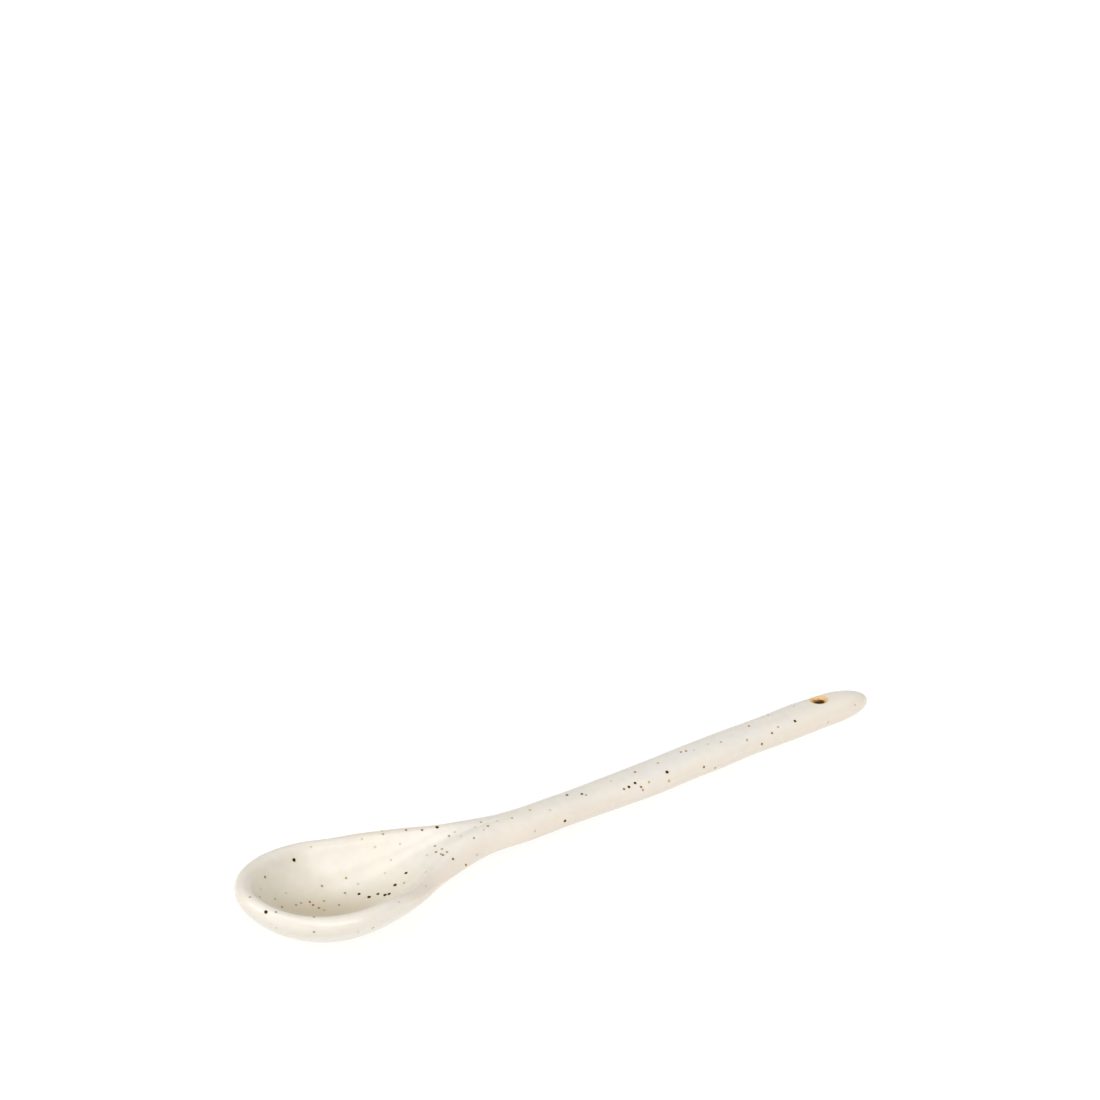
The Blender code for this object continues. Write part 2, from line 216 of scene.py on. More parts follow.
NOSE_COLUMNS = 64              # faces round the nose, along each side, round the end, and across
BOWL_COLUMNS = 70
HANDLE_COLUMNS = 96
LIP_COLUMNS = 18
BRIDGE_COLUMNS = 3
END_COLUMNS = 32
RINGS = 33
EDGE_CLOSENESS = 2.0           # 1 spaces the rings evenly, more draws them towards the edge
LIP_RING = 11                  # the ring of faces that the lips of the hole start from
LIP_STEPS = 8
RING_REACH = 3.6 * MM          # the rows of faces are drawn into rings this far round the hole
SLOPE_STEP = 0.01 * MM
MERGE_DISTANCE = 0.001 * MM
SEAT_TURNS = 3                 # the lowest points move a little as the spoon tilts


def ease(share):
    """Zero to one with a level start and end."""
    share = min(max(share, 0.0), 1.0)
    return share * share * (3 - 2 * share)


def fade(share):
    """One to zero along half a cosine wave."""
    return (1 + cos(pi * min(max(share, 0.0), 1.0))) / 2


def half_width(x):
    """Half the width of the plan between the rounded nose and the rounded end."""
    neck = NECK_WIDTH + (HANDLE_WIDTH - NECK_WIDTH) * ease((x - BOWL_LENGTH) / HANDLE_SWELL)
    return (neck + (BOWL_WIDTH - neck) * fade((x - BOWL_NOSE) / (BOWL_LENGTH - BOWL_NOSE))) / 2


def thickness(x):
    """Thickness of the body, from the bowl's wall through the neck to the handle."""
    wall_end = BOWL_NOSE + WALL_RUN
    neck = BOWL_WALL + (NECK_THICKNESS - BOWL_WALL) * ease((x - wall_end) / (BOWL_LENGTH - wall_end))
    return neck + (HANDLE_THICKNESS - NECK_THICKNESS) * ease((x - BOWL_LENGTH) / HANDLE_SWELL)


def hollow_share(x, runout):
    """Share of the hollow's depth on the middle line, full in the nose and fading out behind the neck."""
    return fade((x - BOWL_NOSE) / (BOWL_LENGTH + runout - BOWL_NOSE))


def fullness(x):
    """How steep the sides of the hollow are."""
    return NOSE_FULLNESS + (HOLLOW_FULLNESS - NOSE_FULLNESS) * ease(x / FULL_RUN)


def flat_share(x, side):
    """Share of the half width that lies inside the rounded edge, on top (side 1) or below (side -1)."""
    rim = RIM_LIP if side > 0 else RIM_ROUND
    along = ease((x - BOWL_LENGTH + ROUND_START) / ROUND_RUN)
    return 1 - (rim + (HANDLE_ROUND - rim) * along) / half_width(x)


def smooth_line(stations, heights):
    """A natural cubic curve through the given points, as a function of the station."""
    spans = np.diff(stations)
    slopes = np.diff(heights) / spans
    system = np.eye(len(stations))
    bends = np.zeros(len(stations))
    for i in range(1, len(stations) - 1):
        system[i, i - 1:i + 2] = spans[i - 1], 2 * (spans[i - 1] + spans[i]), spans[i]
        bends[i] = 6 * (slopes[i] - slopes[i - 1])
    curvature = np.linalg.solve(system, bends)

    def height(x):
        i = min(max(np.searchsorted(stations, x) - 1, 0), len(spans) - 1)
        before = (stations[i + 1] - x) / spans[i]
        after = (x - stations[i]) / spans[i]
        bend = (before ** 3 - before) * curvature[i] + (after ** 3 - after) * curvature[i + 1]
        return before * heights[i] + after * heights[i + 1] + bend * spans[i] ** 2 / 6

    return height


edge_height = smooth_line(
    [0.0, BOWL_NOSE, BOWL_LENGTH - BACK_SETBACK, BOWL_LENGTH + SHOULDER_RUN,
     BOWL_LENGTH + HANDLE_RUN, LENGTH],
    [TIP_HEIGHT, WIDEST_HEIGHT, BACK_HEIGHT, SHOULDER_HEIGHT, HANDLE_HEIGHT, END_HEIGHT])


def section_at(x):
    """The station whose section holds at x, how far x lies into a cap, 0 to 1, and the cap's roundness."""
    if x < BOWL_NOSE:
        return BOWL_NOSE, (BOWL_NOSE - x) / BOWL_NOSE, NOSE_ROUNDNESS
    if x > END_START:
        return END_START, (x - END_START) / END_LENGTH, END_ROUNDNESS
    return x, 0.0, 1.0


def edge_level(x, y):
    """How far out a point of the plan lies, from 0 on the middle line to 1 on the edge."""
    section, into_cap, roundness = section_at(x)
    out = abs(y) / half_width(section)
    return (into_cap ** roundness + out ** roundness) ** (1 / roundness)


def cap_edge(turn, roundness):
    """A point on the edge of a cap of unit size, how far out to its tip and how far across."""
    power = 2 / roundness
    return Vector((cos(turn) ** power, copysign(abs(sin(turn)) ** power, turn)))


def into_edge(x, y, side):
    """How far a point of the plan lies into the rounded edge, from 0 on the flat to 1 on the edge."""
    flat = flat_share(section_at(x)[0], side)
    return max(edge_level(x, y) - flat, 0.0) / (1 - flat)


def softness(x):
    """How far the top has turned from a hollow with steep sides into a soft channel."""
    return ease((x - BOWL_LENGTH + SOFT_START) / SOFT_RUN)


def middle_height(x, y, side):
    """Height of the sheet inside the body that carries the top (side 1) or the belly (side -1)."""
    level = edge_level(x, y)
    dip = 1 - level ** fullness(x)
    if side > 0:
        dip += (fade(level) - dip) * softness(x)
    depth = HOLLOW_DEPTH * hollow_share(x, FLOOR_RUNOUT if side > 0 else BELLY_RUNOUT)
    return edge_height(x) - depth * dip


def scoop(x, y):
    """How far the floor of the hollow is dug out, with steep sides under the rim."""
    level = min(edge_level(x, y), 1.0)
    return SCOOP_DEPTH * (1 - softness(x)) * hollow_share(x, FLOOR_RUNOUT) * (1 - level ** SCOOP_FULLNESS)


def sink(x, y, side):
    """How far the near rim has sunk, where it runs down to the neck."""
    if y > 0:
        return 0.0
    behind = x - BOWL_LENGTH + SINK_MIDDLE
    along = fade(-behind / SINK_RUN) * fade(behind / SINK_RUNOUT)
    return NEAR_SINK * along * min(edge_level(x, y), 1.0) ** (TOP_SINK if side > 0 else UNDER_SINK)


def waist(x, y, side):
    """How far the top is pressed down behind the neck, and the edges with it but not the belly."""
    press = WAIST_DEPTH * fade(abs(x - BOWL_LENGTH - WAIST_MIDDLE) / WAIST_RUN)
    return press if side > 0 else press * min(edge_level(x, y), 1.0) ** WAIST_UNDER


def spread(x, y, side, rounding):
    """How far the neck's edge is pushed out, so that its top runs smoothly into its belly."""
    out = EDGE_SPREAD * fade(abs(x - BOWL_LENGTH) / SPREAD_RUN)
    return copysign(out * (1 - rounding) ** (1.0 if side > 0 else UNDER_SPREAD), y)


def skin_point(x, y, side):
    """The skin above (side 1) or below (side -1) a point of the plan, square to the middle sheet."""
    rounding = sqrt(max(1 - into_edge(x, y, side) ** EDGE_FULLNESS, 0.0))
    slope_x = middle_height(x + SLOPE_STEP, y, side) - middle_height(x - SLOPE_STEP, y, side)
    slope_y = middle_height(x, y + SLOPE_STEP, side) - middle_height(x, y - SLOPE_STEP, side)
    square = Vector((-slope_x, -slope_y, 2 * SLOPE_STEP)).normalized()
    lower = sink(x, y, side) + waist(x, y, side) + (scoop(x, y) if side > 0 else 0.0)
    place = Vector((x, y + spread(x, y, side, rounding), middle_height(x, y, side) - lower))
    return place + square * (side * rounding * thickness(x) / 2)


def painted_hollow_shade(x, y):
    """How much painted shade lies in the hollow, under the near rim and the tip, from 0 to 1 where it is
    darkest.
    """
    deep = max(1 - edge_level(x, y) ** fullness(x), 0.0) * hollow_share(x, FLOOR_RUNOUT) ** SHADE_FADE
    down = SHADE_SIDE.dot(Vector((x - BOWL_NOSE, y)))
    return deep * ease(1 + down / SHADE_RUN)


def ring_level(ring):
    """Level of a ring of faces, counted from the middle line, with closer rings on the rounded edge."""
    return 1 - (1 - ring / RINGS) ** EDGE_CLOSENESS


lip_reach = half_width(HOLE.x) * ring_level(LIP_RING)


def outline():
    """A point of the middle line and a point of the edge for each column of faces round the plan."""
    stops = [BOWL_NOSE, BOWL_LENGTH, HOLE.x - lip_reach, HOLE.x + lip_reach, END_START]
    counts = [BOWL_COLUMNS, HANDLE_COLUMNS, LIP_COLUMNS, BRIDGE_COLUMNS]
    stations = stops[:1]
    for start, stop, count in zip(stops, stops[1:], counts):
        stations += list(np.linspace(start, stop, count + 1))[1:]
    columns = []
    for turn in np.linspace(-pi / 2, pi / 2, NOSE_COLUMNS + 1)[1:-1]:
        cap = cap_edge(turn, NOSE_ROUNDNESS)
        edge = Vector((BOWL_NOSE * (1 - cap.x), half_width(BOWL_NOSE) * cap.y))
        columns.append((Vector((BOWL_NOSE, 0.0)), edge))
    for x in stations:
        columns.append((Vector((x, 0.0)), Vector((x, half_width(x)))))
    for turn in np.linspace(pi / 2, -pi / 2, END_COLUMNS + 1)[1:-1]:
        cap = cap_edge(turn, END_ROUNDNESS)
        edge = Vector((END_START + END_LENGTH * cap.x, half_width(END_START) * cap.y))
        columns.append((Vector((END_START, 0.0)), edge))
    for x in reversed(stations):
        columns.append((Vector((x, 0.0)), Vector((x, -half_width(x)))))
    return columns


def round_the_hole(point):
    """A point of the plan, with the square rows of faces about the hanging hole drawn into rings."""
    across = point - Vector((HOLE.x, 0.0))
    square = max(abs(across.x), abs(across.y))
    ring = HOLE + across.normalized() * square
    return point.lerp(ring, ease((RING_REACH - square) / (RING_REACH - lip_reach)))


def spoon_skin():
    """The outside of the spoon as a wrapped grid, open at both lips of the hanging hole."""
    columns = outline()
    skin = bmesh.new()
    bmesh.ops.create_grid(skin, x_segments=len(columns), y_segments=2 * RINGS, size=1.0)
    thin_edge = skin.verts.layers.float.new("thin_edge")
    painted_shade = skin.verts.layers.float.new("painted_shade")
    plan = {}
    for vert in skin.verts:
        column = round((vert.co.x + 1) / 2 * len(columns)) % len(columns)
        ring = round(vert.co.y * RINGS)
        middle, edge = columns[column]
        level = ring_level(RINGS - abs(ring))
        plan[vert] = round_the_hole(middle.lerp(edge, level)), (1 if ring > 0 else -1)
    over_hole = []
    for face in skin.faces:
        centre = sum((plan[vert][0] for vert in face.verts), Vector((0.0, 0.0))) / len(face.verts)
        if (centre - HOLE).length < lip_reach:
            over_hole.append(face)
    bmesh.ops.delete(skin, geom=over_hole, context="FACES")
    for vert in skin.verts:
        point, side = plan[vert]
        vert.co = skin_point(point.x, point.y, side)
        thin = max(into_edge(point.x, point.y, side), THIN_OUTSIDE if side < 0 else 0.0)
        vert[thin_edge] = thin * ease((point.x - BOWL_NOSE) / THIN_RUN)
        # the top carries the painted shade of the hollow
        if side > 0:
            vert[painted_shade] = painted_hollow_shade(point.x, point.y)
    bmesh.ops.remove_doubles(skin, verts=skin.verts, dist=MERGE_DISTANCE)
    bmesh.ops.recalc_face_normals(skin, faces=skin.faces)
    return skin


def lip_profile():
    """The glaze over the lip's round, down the bore and up its back: radius, depth and thinness, which
    deeper down also gives painted shade.
    """
    lip_round = lip_reach - FILM_RADIUS
    for step in range(1, LIP_STEPS + 1):
        turn = pi / 2 * step / LIP_STEPS
        radius = FILM_RADIUS + lip_round * (1 - sin(turn))
        yield radius, lip_round * (1 - cos(turn)), LIP_THIN * step / LIP_STEPS
    yield FILM_RADIUS, (lip_round + FILM_DEPTH) / 2, BORE_THIN_AND_SHADE
    for step in range(LIP_STEPS + 1):
        turn = pi * step / LIP_STEPS
        radius = FILM_RADIUS + FILM_THICKNESS * (1 - cos(turn)) / 2
        yield radius, FILM_DEPTH + FILM_THICKNESS * sin(turn) / 2, 1.0
    yield FILM_RADIUS + FILM_THICKNESS, FILM_BACK, 1.0


def glaze_shell(skin):
    """The skin with its inner face, joined round both lips of the hanging hole."""
    into_hole = skin.verts.layers.float.new("into_hole")
    inner = skin.copy()
    inner.normal_update()
    for vert in inner.verts:
        vert.co -= vert.normal * GLAZE_THICKNESS
    bmesh.ops.reverse_faces(inner, faces=inner.faces)
    inner_mesh = bpy.data.meshes.new("glaze_inside")
    inner.to_mesh(inner_mesh)
    inner.free()
    outer_rims = [edge for edge in skin.edges if edge.is_boundary]
    skin.from_mesh(inner_mesh)
    bpy.data.meshes.remove(inner_mesh)
    middle = middle_height(HOLE.x, HOLE.y, 1)
    for side in (1, -1):
        rim = [edge for edge in outer_rims if (edge.verts[0].co.z - middle) * side > 0]
        inner_rim = [edge for edge in skin.edges if edge.is_boundary and edge not in outer_rims
                     and (edge.verts[0].co.z - middle) * side > 0]
        for radius, depth, thin in lip_profile():
            made = bmesh.ops.extrude_edge_only(skin, edges=rim)["geom"]
            rim = [part for part in made if isinstance(part, bmesh.types.BMEdge) and part.is_boundary]
            for vert in {vert for edge in rim for vert in edge.verts}:
                from_hole = (vert.co.xy - HOLE).normalized() * radius
                point = HOLE + from_hole
                vert.co = skin_point(point.x, point.y, side) - Vector((0.0, 0.0, side * depth))
                vert[into_hole] = thin
        bmesh.ops.bridge_loops(skin, edges=rim + inner_rim)
    bmesh.ops.recalc_face_normals(skin, faces=skin.faces)


# The hands left the sides a little uneven: station from the tip and how far the side stands out, in mm
NEAR_SIDE = [(0.0, 0.0), (16.6, 0.1), (28.0, 0.0), (31.5, -0.35), (34.5, -0.85), (38.0, -0.85),
             (42.0, -0.68), (47.0, -0.65), (52.0, -0.6), (57.0, -0.1), (63.0, 0.08), (76.0, -0.25),
             (89.5, 0.2), (98.0, 0.05), (103.0, 0.15), (110.0, -0.2), (118.0, -0.1), (129.0, -0.3),
             (134.0, -0.3), (140.0, 0.6)]
FAR_SIDE = [(0.0, 0.0), (17.0, 0.0), (21.0, -0.2), (24.5, -0.6), (29.0, -0.3), (34.0, 0.0),
            (38.0, 0.2), (45.0, 0.1), (58.0, -0.2), (66.0, -0.3), (78.0, 0.25), (90.0, 0.25),
            (108.0, 0.0), (117.0, -0.15), (125.0, 0.1), (129.0, -0.15), (135.0, -0.45),
            (140.0, -0.6)]
NEAR_DROP = 0.65 * MM          # the near rim lies this much lower at the nose
DROP_MIDDLE = 6.0 * MM         # most of all this far behind the tip
DROP_RUN = 13.0 * MM           # over this length before and behind
DROP_ACROSS = 0.6              # in full from this share of the half width outwards
DROP_FOOT = 4.0 * MM           # height up to which the wall stays in place
DROP_HEIGHT = 5.0 * MM         # above that it follows the rim over this height


def knead(verts, tip=0.0):
    """Press the sides in and out as the hands did, with all that lies between, and the near rim down."""
    near_side, far_side = [smooth_line([x * MM for x, out in side], [out * MM for x, out in side])
                           for side in (NEAR_SIDE, FAR_SIDE)]
    for vert in verts:
        x = vert.co.x - tip
        across = vert.co.y / half_width(section_at(x)[0])
        vert.co.y += far_side(x) * (1 + across) / 2 - near_side(x) * (1 - across) / 2
        drop = NEAR_DROP * fade(abs(x - DROP_MIDDLE) / DROP_RUN) * ease(-across / DROP_ACROSS)
        vert.co.z -= drop * ease((vert.co.z - DROP_FOOT) / DROP_HEIGHT)


def seat(skin):
    """Lay the spoon on its bowl and its handle, rubbed flat there, and say where its tip is."""
    bowl = [vert for vert in skin.verts if vert.co.x < BOWL_LENGTH]
    handle = [vert for vert in skin.verts if vert.co.x > BOWL_LENGTH + HANDLE_RUN]
    for _ in range(SEAT_TURNS):
        bowl_low = min(bowl, key=lambda vert: vert.co.z).co.copy()
        handle_low = min(handle, key=lambda vert: vert.co.z).co.copy()
        slope = (handle_low.z - bowl_low.z) / (handle_low.x - bowl_low.x)
        for vert in skin.verts:
            vert.co.z -= bowl_low.z + slope * (vert.co.x - bowl_low.x)
    ends = [vert.co.x for vert in skin.verts]
    middle = (min(ends) + max(ends)) / 2
    for vert in skin.verts:
        vert.co.x -= middle
        vert.co.z = max(vert.co.z - FOOT_PRESS, 0.0)
    return -middle


coat = spoon_skin()
glaze_shell(coat)
knead(coat.verts)
tip = seat(coat)

# The clay under the glaze is pressed with it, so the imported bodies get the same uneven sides
CLAY_CREASE = radians(50.0)    # where the clay was cut or drilled, it has a crisp edge

for node, name in (("clay_bowl", "stoneware_bowl"), ("clay_handle", "stoneware_handle")):
    clay_body = bmesh.new()
    clay_body.from_mesh(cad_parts[node].data)
    bmesh.ops.remove_doubles(clay_body, verts=clay_body.verts, dist=MERGE_DISTANCE)
    knead(clay_body.verts, tip)
    clay_mesh = bpy.data.meshes.new(name)
    clay_body.to_mesh(clay_mesh)
    clay_body.free()
    if clay_mesh.has_custom_normals:
        clay_mesh.attributes.remove(clay_mesh.attributes["custom_normal"])
    clay_mesh.shade_smooth()
    clay_mesh.set_sharp_from_angle(angle=CLAY_CREASE)
    clay_mesh.materials.append(stoneware)
    clay = bpy.data.objects.new(name, clay_mesh)
    scene.collection.objects.link(clay)
    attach(clay, "root")
    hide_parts(node)

# Specks: grains of iron that the fire melted into the glaze. They are given by their tone and by
# where each is seen in the image, in pixels, with its diameter on the spoon.
BIG_SPECK = 0.67 * MM
SPECK = 0.58 * MM
SMALL_SPECK = 0.5 * MM
BLACK_SPECKS = [(294, 860), (369, 897), (385, 895), (389, 894), (395, 885), (437, 827), (667, 772),
                (266, 912)]
DARK_SPECKS = [(378, 894), (406, 873), (567, 795), (582, 794), (565, 821), (635, 783), (795, 721),
               (629, 787), (359, 894)]
AMBER_SPECKS = [(436, 852), (314, 917), (282, 907), (313, 905), (319, 908), (373, 928), (265, 877),
                (466, 865), (406, 830), (422, 830), (635, 772), (624, 789), (641, 787), (681, 752),
                (686, 751), (704, 767), (762, 744), (772, 733), (443, 855), (488, 826), (749, 726),
                (310, 902), (260, 897), (453, 859)]
OLIVE_SPECKS = [(346, 878), (324, 910), (324, 901), (404, 883), (382, 831), (442, 849), (481, 822),
                (512, 818), (530, 810), (426, 872), (649, 782), (658, 763), (669, 781), (715, 768),
                (721, 742), (747, 740), (778, 727)]
GREY_SPECKS = [(322, 886), (276, 912), (250, 897), (275, 899), (301, 903), (296, 905), (339, 905),
               (345, 893), (314, 932), (383, 834), (441, 854), (449, 836), (474, 838), (435, 846),
               (447, 852), (586, 795), (643, 790), (768, 715)]
FAINT_SPECKS = [(358, 884), (276, 928), (358, 932), (311, 940), (311, 847), (362, 839), (375, 847),
                (455, 832), (400, 844), (477, 855), (427, 855), (426, 886), (475, 827), (484, 830),
                (497, 821), (550, 810), (535, 831), (611, 781), (694, 750), (708, 744), (855, 705),
                (828, 722), (794, 706), (399, 902), (286, 893), (391, 860), (385, 873), (461, 836),
                (261, 889)]
# Tones of a speck's heart and fringe, how strongly it shows, its diameter and where such specks lie
SPECK_TONES = [
    ("#060200", "#8A6414", 1.0, BIG_SPECK, BLACK_SPECKS),
    ("#120802", "#9E7010", 1.0, SPECK, DARK_SPECKS),
    ("#6E4C02", "#B89434", 0.95, SMALL_SPECK, AMBER_SPECKS),
    ("#94801E", "#BEAC62", 0.8, SMALL_SPECK, OLIVE_SPECKS),
    ("#504C44", "#ADA89C", 0.7, SMALL_SPECK, GREY_SPECKS),
    ("#857E62", "#B6AF98", 0.42, SMALL_SPECK, FAINT_SPECKS),
]
SPECK_AREA = 22.0 * MM * MM    # one speck to this much of the sides that the image doesn't show
OUTSIDE_SHARE = 0.5            # of the area of the coat's faces, the rest is its inside
SPECK_SEED = 7

coat.faces.ensure_lookup_table()
coat_tree = BVHTree.FromBMesh(coat)
specks = []
for tone, fringe, strength, diameter, pixels in SPECK_TONES:
    for pixel in pixels:
        sight = line_of_sight(pixel)
        seen = coat_tree.ray_cast(camera.location, sight)[0]
        spot = seen or coat_tree.find_nearest(camera.location + sight * VIEW_DISTANCE)[0]
        specks.append((spot, diameter / 2, tone, fringe, strength))

scatter = Random(SPECK_SEED)
faces = coat.faces[:]
areas = [face.calc_area() for face in faces]
marked = [len(kind[-1]) for kind in SPECK_TONES]
count = round(sum(areas) * OUTSIDE_SHARE / SPECK_AREA)
for face in scatter.choices(faces, weights=areas, k=count):
    tone, fringe, strength, diameter, pixels = scatter.choices(SPECK_TONES, weights=marked)[0]
    spot = face.calc_center_median()
    to_face = spot - camera.location
    first = coat_tree.ray_cast(camera.location, to_face.normalized())[0]
    if first is None or (first - spot).length > diameter:
        specks.append((spot, diameter / 2, tone, fringe, strength))

# Each face carries the speck that is nearest to it, so that the glaze can draw it
nearest = KDTree(len(specks))
for number, speck in enumerate(specks):
    nearest.insert(speck[0], number)
nearest.balance()
speck_centre = coat.faces.layers.float_vector.new("speck_centre")
speck_radius = coat.faces.layers.float.new("speck_radius")
speck_tone = coat.faces.layers.float_color.new("speck_tone")
speck_fringe = coat.faces.layers.float_color.new("speck_fringe")
for face in coat.faces:
    spot, radius, tone, fringe, strength = specks[nearest.find(face.calc_center_median())[1]]
    face[speck_centre] = spot
    face[speck_radius] = radius
    face[speck_tone] = (*linear(tone)[:3], strength)
    face[speck_fringe] = linear(fringe)

# Glossy cream stoneware glaze: milky and a little uneven, warmer where it is thin along the edges, with
# painted shade deep in the hollow, breaking to amber where it runs into the hole and to painted shade down
# the bore, with a faint orange peel under a high gloss
CREAM_WARM = "#DCD4C7"
CREAM_COOL = "#D9D4CB"
CREAM_BOWL = "#DCD2BE"         # thicker, where the bowl was dipped first
BOWL_SHARE = 0.28              # how much of this tone the bowl takes on
BOWL_FADE = 18.0 * MM          # and loses again over this length before the neck
EDGE_BLUSH = "#D9CBBA"         # thinner, so that the clay glows through
BLUSH_START, BLUSH_END = 0.5, 1.0       # how thin the glaze is where the blush starts and is full
BLUSH_SHARE = 0.5
HOLLOW_SHADE_TONE = "#C0B49B"          # painted shade, deep in the hollow under the near rim and the tip
# From the lip of the hole down its bore: how thin the glaze is, and its tone there, amber where it thins
# and painted shade deeper in the bore
BREAK_AND_SHADE_TONES = [(0.0, "#DAD4C8"), (0.1, "#DABF8E"), (0.4, "#CC9F5C"),
               (0.52, "#8E5820"), (0.75, "#3E220A"), (1.0, "#180C04")]
GLAZE_CLOUD = 12.0 * MM        # size of the warmer and cooler places
CLOUD_WARM, CLOUD_COOL = 0.35, 0.65     # values of the cloud that are all warm and all cool
GLAZE_CURD = 1.6 * MM          # size of the fine milky mottle
CURD_THIN, CURD_THICK = 0.3, 0.7        # values of the mottle that count as thin and as thick
CURD_DIM, CURD_BRIGHT = 0.975, 1.02     # brightness of the glaze there
GLOSS_HIGH, GLOSS_LOW = 0.2, 0.27       # and its roughness
ORANGE_PEEL = 5.0 * MM         # spacing of the faint waves
PEEL_HEIGHT = 0.02 * MM
PEEL_STRENGTH = 0.5
SPECK_RAGGED = 0.25 * MM       # size of the notches in a speck's edge
SPECK_STRAY = 0.22 * MM        # and how far they reach
NOISE_MIDDLE = 0.5
HEART_OUTSIDE, HEART_INSIDE = 0.95, 0.6     # shares of its radius where a speck's heart starts and is full
FRINGE_OUTSIDE, FRINGE_INSIDE = 1.25, 0.9   # and where its fringe does
GLAZE_IOR = 1.52
GLAZE_SPECULAR = 0.5           # the shader's level for that IOR
SPECK_DULLNESS = 0.4           # the iron takes this much off it

glaze, tree, shader, place = new_finish("glossy_cream_glaze")
cloud = add(tree, "TexNoise", {"Vector": place, "Scale": 1 / GLAZE_CLOUD, "Detail": 3.0})
curd = add(tree, "TexNoise", {"Vector": place, "Scale": 1 / GLAZE_CURD, "Detail": 3.0})
cloudy = add(tree, "MapRange", {"Value": cloud.outputs["Fac"], "From Min": CLOUD_WARM,
                                "From Max": CLOUD_COOL})
cream = add(tree, "Mix", {MIX_FACTOR: cloudy.outputs["Result"], MIX_A: linear(CREAM_WARM),
                          MIX_B: linear(CREAM_COOL)}, data_type="RGBA")
along = add(tree, "SeparateXYZ", {"Vector": place})
dipped = add(tree, "MapRange", {"Value": along.outputs["X"], "From Min": tip + BOWL_LENGTH,
                                "From Max": tip + BOWL_LENGTH - BOWL_FADE, "To Max": BOWL_SHARE},
             interpolation_type="SMOOTHSTEP")
thick = add(tree, "Mix", {MIX_FACTOR: dipped.outputs["Result"], MIX_A: cream.outputs[MIX_RESULT],
                          MIX_B: linear(CREAM_BOWL)}, data_type="RGBA")
mottle = add(tree, "MapRange", {"Value": curd.outputs["Fac"], "From Min": CURD_THIN,
                                "From Max": CURD_THICK, "To Min": CURD_DIM, "To Max": CURD_BRIGHT})
milky = add(tree, "VectorMath", {0: thick.outputs[MIX_RESULT], 1: mottle.outputs["Result"]},
            operation="MULTIPLY")
edge = add(tree, "Attribute", attribute_name="thin_edge")
blush = add(tree, "MapRange", {"Value": edge.outputs["Fac"], "From Min": BLUSH_START,
                               "From Max": BLUSH_END, "To Max": BLUSH_SHARE},
            interpolation_type="SMOOTHSTEP")
blushed = add(tree, "Mix", {MIX_FACTOR: blush.outputs["Result"], MIX_A: milky.outputs["Vector"],
                            MIX_B: linear(EDGE_BLUSH)}, data_type="RGBA")
# painted shade in the hollow darkens the glaze's colour there
painted_shade = add(tree, "Attribute", attribute_name="painted_shade")
deep = add(tree, "Mix", {MIX_FACTOR: painted_shade.outputs["Fac"], MIX_A: blushed.outputs[MIX_RESULT],
                         MIX_B: linear(HOLLOW_SHADE_TONE)}, data_type="RGBA")
# the glaze breaks to amber into the hole, and deeper down its tone is painted shade, nearly black
hole = add(tree, "Attribute", attribute_name="into_hole")
amber_and_shade = add(tree, "ValToRGB", {"Fac": hole.outputs["Fac"]})
while len(amber_and_shade.color_ramp.elements) < len(BREAK_AND_SHADE_TONES):
    amber_and_shade.color_ramp.elements.new(1.0)
for stop, (position, tone) in zip(amber_and_shade.color_ramp.elements, BREAK_AND_SHADE_TONES):
    stop.position = position
    stop.color = linear(tone)
broken = add(tree, "MapRange", {"Value": hole.outputs["Fac"], "From Max": BREAK_AND_SHADE_TONES[1][0]})
body = add(tree, "Mix", {MIX_FACTOR: broken.outputs["Result"], MIX_A: deep.outputs[MIX_RESULT],
                         MIX_B: amber_and_shade.outputs["Color"]}, data_type="RGBA")

ragged = add(tree, "TexNoise", {"Vector": place, "Scale": 1 / SPECK_RAGGED, "Detail": 1.0})
stray = add(tree, "VectorMath", {0: ragged.outputs["Color"], 1: (NOISE_MIDDLE,) * 3},
            operation="SUBTRACT")
astray = add(tree, "VectorMath", {0: stray.outputs["Vector"], 1: (SPECK_STRAY,) * 3, 2: place},
             operation="MULTIPLY_ADD")
centre = add(tree, "Attribute", attribute_name="speck_centre")
radius = add(tree, "Attribute", attribute_name="speck_radius")
tone = add(tree, "Attribute", attribute_name="speck_tone")
fringe = add(tree, "Attribute", attribute_name="speck_fringe")
reach = add(tree, "VectorMath", {0: astray.outputs["Vector"], 1: centre.outputs["Vector"]},
            operation="DISTANCE")
out = add(tree, "Math", {0: reach.outputs["Value"], 1: radius.outputs["Fac"]}, operation="DIVIDE")
heart = add(tree, "MapRange", {"Value": out.outputs["Value"], "From Min": HEART_OUTSIDE,
                               "From Max": HEART_INSIDE}, interpolation_type="SMOOTHSTEP")
halo = add(tree, "MapRange", {"Value": out.outputs["Value"], "From Min": FRINGE_OUTSIDE,
                              "From Max": FRINGE_INSIDE}, interpolation_type="SMOOTHSTEP")
shows = add(tree, "Math", {0: halo.outputs["Result"], 1: tone.outputs["Alpha"]}, operation="MULTIPLY")
speck = add(tree, "Mix", {MIX_FACTOR: heart.outputs["Result"], MIX_A: fringe.outputs["Color"],
                          MIX_B: tone.outputs["Color"]}, data_type="RGBA")
speckled = add(tree, "Mix", {MIX_FACTOR: shows.outputs["Value"], MIX_A: body.outputs[MIX_RESULT],
                             MIX_B: speck.outputs[MIX_RESULT]}, data_type="RGBA")
dull = add(tree, "Math", {0: shows.outputs["Value"], 1: -SPECK_DULLNESS, 2: GLAZE_SPECULAR},
           operation="MULTIPLY_ADD")
gloss = add(tree, "MapRange", {"Value": curd.outputs["Fac"], "From Min": CURD_THIN,
                               "From Max": CURD_THICK, "To Min": GLOSS_HIGH, "To Max": GLOSS_LOW})
peel = add(tree, "TexNoise", {"Vector": place, "Scale": 1 / ORANGE_PEEL, "Detail": 1.0})
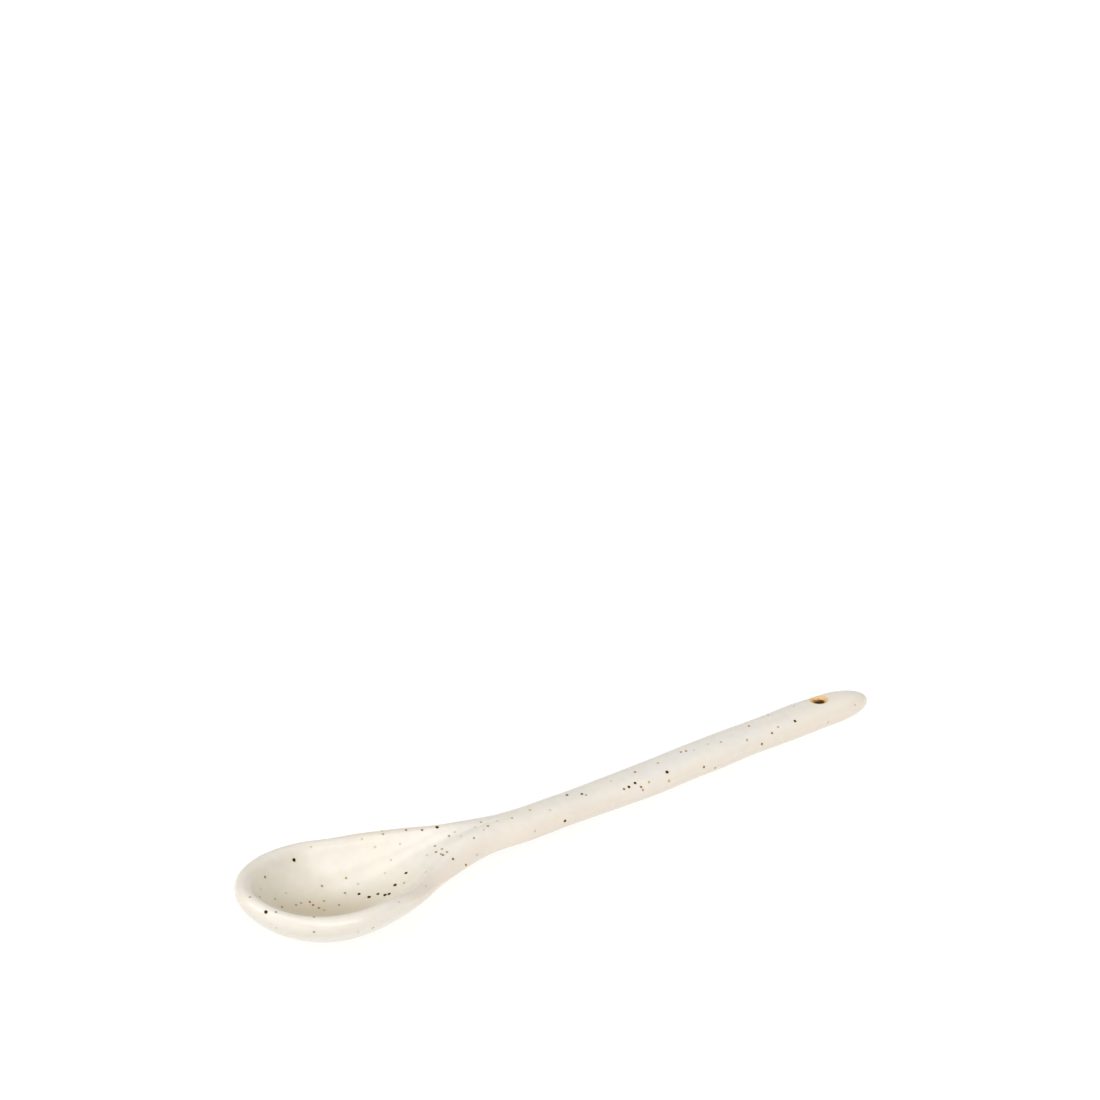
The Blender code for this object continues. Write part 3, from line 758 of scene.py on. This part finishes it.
dimples = add(tree, "Bump", {"Height": peel.outputs["Fac"], "Distance": PEEL_HEIGHT,
                             "Strength": PEEL_STRENGTH})
tree.links.new(speckled.outputs[MIX_RESULT], shader.inputs["Base Color"])
tree.links.new(gloss.outputs["Result"], shader.inputs["Roughness"])
tree.links.new(dull.outputs["Value"], shader.inputs["Specular IOR Level"])
tree.links.new(dimples.outputs["Normal"], shader.inputs["Normal"])
shader.inputs["IOR"].default_value = GLAZE_IOR

coat_mesh = bpy.data.meshes.new("cream_glaze_coat")
coat.to_mesh(coat_mesh)
coat.free()
coat_mesh.shade_smooth()
coat_mesh.materials.append(glaze)
coat_piece = bpy.data.objects.new("cream_glaze_coat", coat_mesh)
scene.collection.objects.link(coat_piece)
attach(coat_piece, "root")
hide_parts("glaze_coat")

# Studio: a frosted light table under the spoon, near-white and matt, and three large soft lights at
# its tip, its front and above it, in a pale room that fills the shadows.
FLOOR_WHITE = "#F7F6F4"
FLOOR_GREY = "#8C8B8A"
FLOOR_SIDE = 40.0              # so wide, in metres, that its edge shows in no view
FLOOR_ROUGHNESS = 0.95
FLOOR_GLOW = 0.85              # lit from below, it shows hardly any shadow
ROOM_WHITE = "#FAFCFF"
ROOM_STRENGTH = 0.48

floor_mesh = bmesh.new()
bmesh.ops.create_grid(floor_mesh, x_segments=1, y_segments=1, size=FLOOR_SIDE / 2)
floor_data = bpy.data.meshes.new("studio_floor")
floor_mesh.to_mesh(floor_data)
floor_mesh.free()
frosted, tree, shader, place = new_finish("frosted_white_acrylic")
shader.inputs["Base Color"].default_value = linear(FLOOR_GREY)
shader.inputs["Roughness"].default_value = FLOOR_ROUGHNESS
shader.inputs["Emission Color"].default_value = linear(FLOOR_WHITE)
shader.inputs["Emission Strength"].default_value = FLOOR_GLOW
floor_data.materials.append(frosted)
floor = bpy.data.objects.new("studio_floor", floor_data)
scene.collection.objects.link(floor)

room = bpy.data.worlds.new("pale_room")
room.use_nodes = True
room.node_tree.nodes["Background"].inputs["Color"].default_value = linear(ROOM_WHITE)
room.node_tree.nodes["Background"].inputs["Strength"].default_value = ROOM_STRENGTH
scene.world = room
scene.view_settings.view_transform = "Standard"

# Name, azimuth and elevation in degrees, distance and side in metres, watts and colour of each soft light
SOFT_LIGHTS = [
    ("tip_softbox", -98.0, 34.0, 3.0, 2.0, 48.0, "#FFFFFF"),
    ("front_softbox", 0.0, 34.0, 3.0, 2.0, 40.0, "#FFFFFF"),
    ("top_softbox", -35.0, 80.0, 3.0, 2.0, 24.0, "#FFFFFF"),
]
for name, azimuth, elevation, distance, side, watts, tint in SOFT_LIGHTS:
    light_data = bpy.data.lights.new(name, "AREA")
    light_data.shape = "SQUARE"
    light_data.size = side
    light_data.energy = watts
    light_data.color = linear(tint)[:3]
    light = bpy.data.objects.new(name, light_data)
    direction = towards(radians(azimuth), radians(elevation))
    light.location = SPOON_MIDDLE + direction * distance
    light.rotation_euler = direction.to_track_quat("Z", "Y").to_euler()
    scene.collection.objects.link(light)
